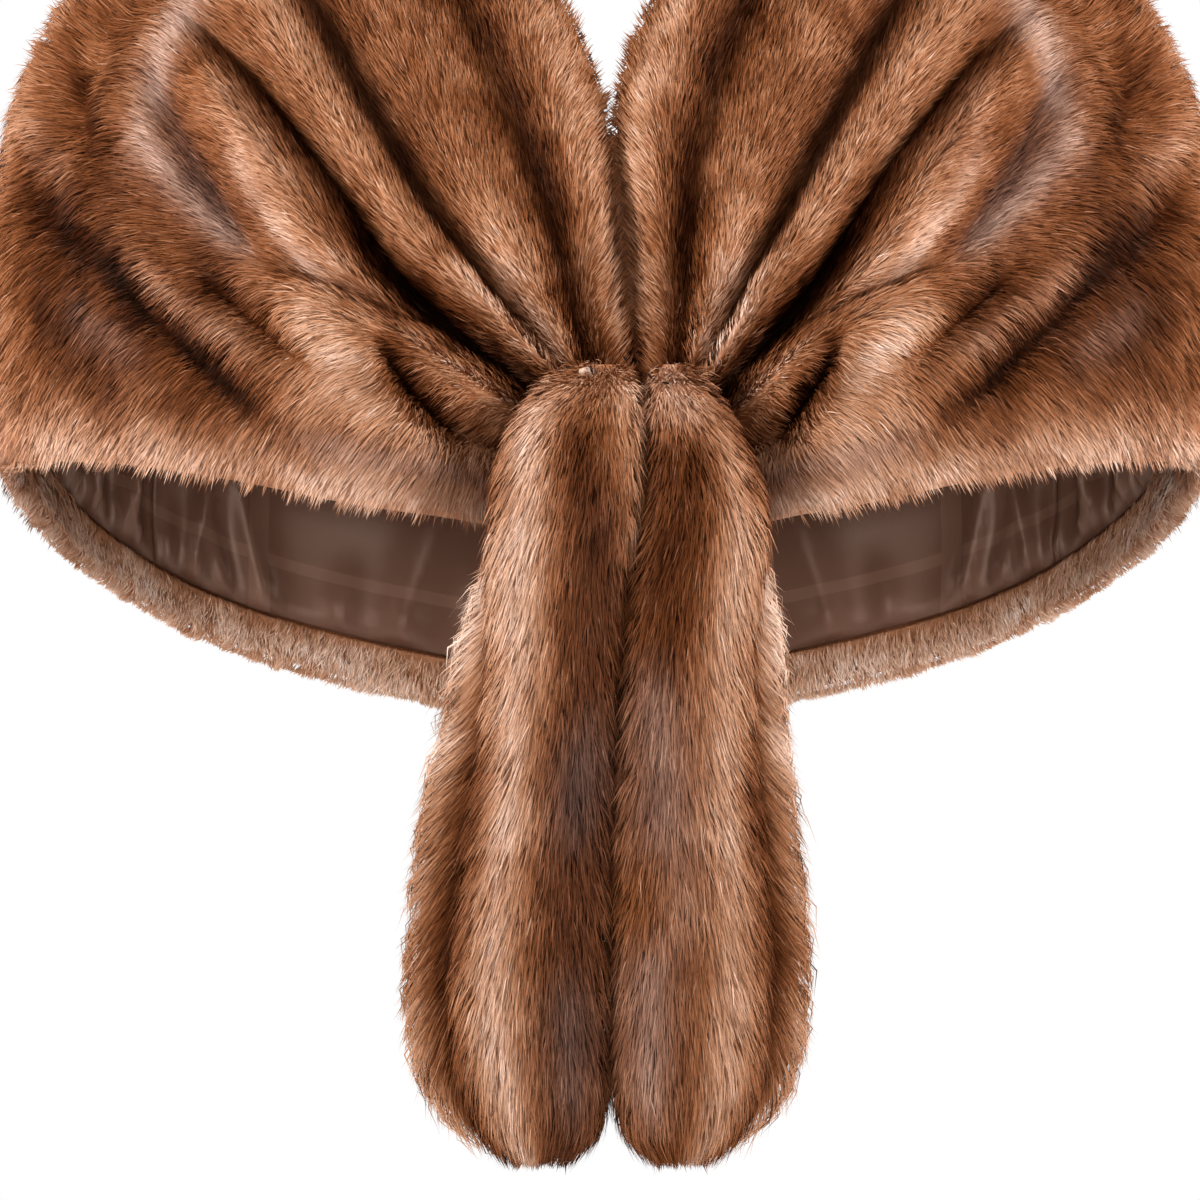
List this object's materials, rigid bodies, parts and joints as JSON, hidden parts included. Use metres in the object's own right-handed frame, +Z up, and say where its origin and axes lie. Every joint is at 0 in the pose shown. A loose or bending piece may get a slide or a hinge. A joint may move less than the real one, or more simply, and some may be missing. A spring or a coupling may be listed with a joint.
{
  "type": "mink capelet",
  "caption": "Short fur capelet that lies round the shoulders, gathered at the middle of the chest, with hanging fur tails and a satin lining.",
  "frame": {"origin": "between the shoulder tops, level with them: where the wearer's shoulders carry the capelet", "axes": "+Z up, front faces -Y, +X to the right as seen from the front"},
  "size_m": [0.589, 0.322, 0.6388],
  "materials": {
    "mink_fur": "glossy dense mink pile, light brown with dark stripes",
    "mink_facing": "lighter mink pile turned in along the hem",
    "mink_tail": "glossy mink pile with a dark stripe and light edges",
    "mink_rear_tail": "light mink pile",
    "satin_lining": "brown satin with a tone-on-tone lattice"
  },
  "bodies": {
    "root": {"fur_back": "mink_fur", "fur_arm_left": "mink_fur", "fur_arm_right": "mink_fur", "fur_chest_left": "mink_fur", "fur_chest_right": "mink_fur", "hem_facing": "mink_facing", "lining_back": "satin_lining", "lining_arm_left": "satin_lining", "lining_arm_right": "satin_lining", "lining_chest_left": "satin_lining", "lining_chest_right": "satin_lining", "tail_front_left": "mink_tail", "tail_front_right": "mink_tail", "tail_rear_left": "mink_rear_tail", "tail_rear_right": "mink_rear_tail"}
  },
  "joints": []
}
